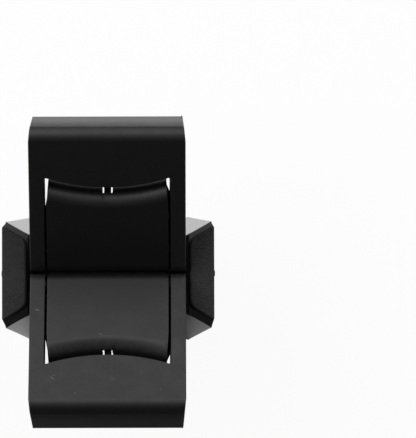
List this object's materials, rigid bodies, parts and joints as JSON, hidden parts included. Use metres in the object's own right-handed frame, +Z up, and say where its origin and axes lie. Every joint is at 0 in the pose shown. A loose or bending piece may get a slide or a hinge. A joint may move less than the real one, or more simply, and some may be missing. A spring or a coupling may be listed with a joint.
{
  "type": "cup holder insert",
  "caption": "Insert for the neck between two cup wells, with a tapered plug, a fixed saddle and sprung arms that steady the cups.",
  "frame": {"origin": "middle of the plug's foot, in the plane it rests on", "axes": "+Z up, +Y from the middle of the neck to the rear well, +X towards the right wing"},
  "size_m": [0.0404, 0.0586, 0.0472],
  "materials": {
    "plug_plastic": "smooth moulded, semi-gloss",
    "saddle_plastic": "fine satin",
    "wing_grain": "leather grain",
    "arm_plastic": "fine matte",
    "pin_steel": "drawn",
    "spring_steel": "drawn wire, black oxidised",
    "screw_steel": "zinc plated"
  },
  "bodies": {
    "base": {"plug_body": "plug_plastic", "saddle": "saddle_plastic", "left_wing": "wing_grain", "right_wing": "wing_grain", "rear_pin": "pin_steel", "front_pin": "pin_steel", "rear_left_spring": "spring_steel", "rear_right_spring": "spring_steel", "front_left_spring": "spring_steel", "front_right_spring": "spring_steel", "saddle_screws": "screw_steel"},
    "rear_arm": {"rear_arm": "arm_plastic"},
    "front_arm": {"front_arm": "arm_plastic"}
  },
  "joints": [
    {"name": "rear_hinge", "type": "hinge", "parent": "base", "child": "rear_arm", "pos_m": [0, 0.0026, 0.03075], "axis": [1, 0, 0], "range_deg": [0, 30], "stiffness_Nm_per_rad": 0.03, "springref_deg": -45.84, "deforming": ["rear_left_spring", "rear_right_spring"]},
    {"name": "front_hinge", "type": "hinge", "parent": "base", "child": "front_arm", "pos_m": [0, -0.0026, 0.03075], "axis": [-1, 0, 0], "range_deg": [0, 30], "stiffness_Nm_per_rad": 0.03, "springref_deg": -45.84, "deforming": ["front_left_spring", "front_right_spring"]}
  ]
}
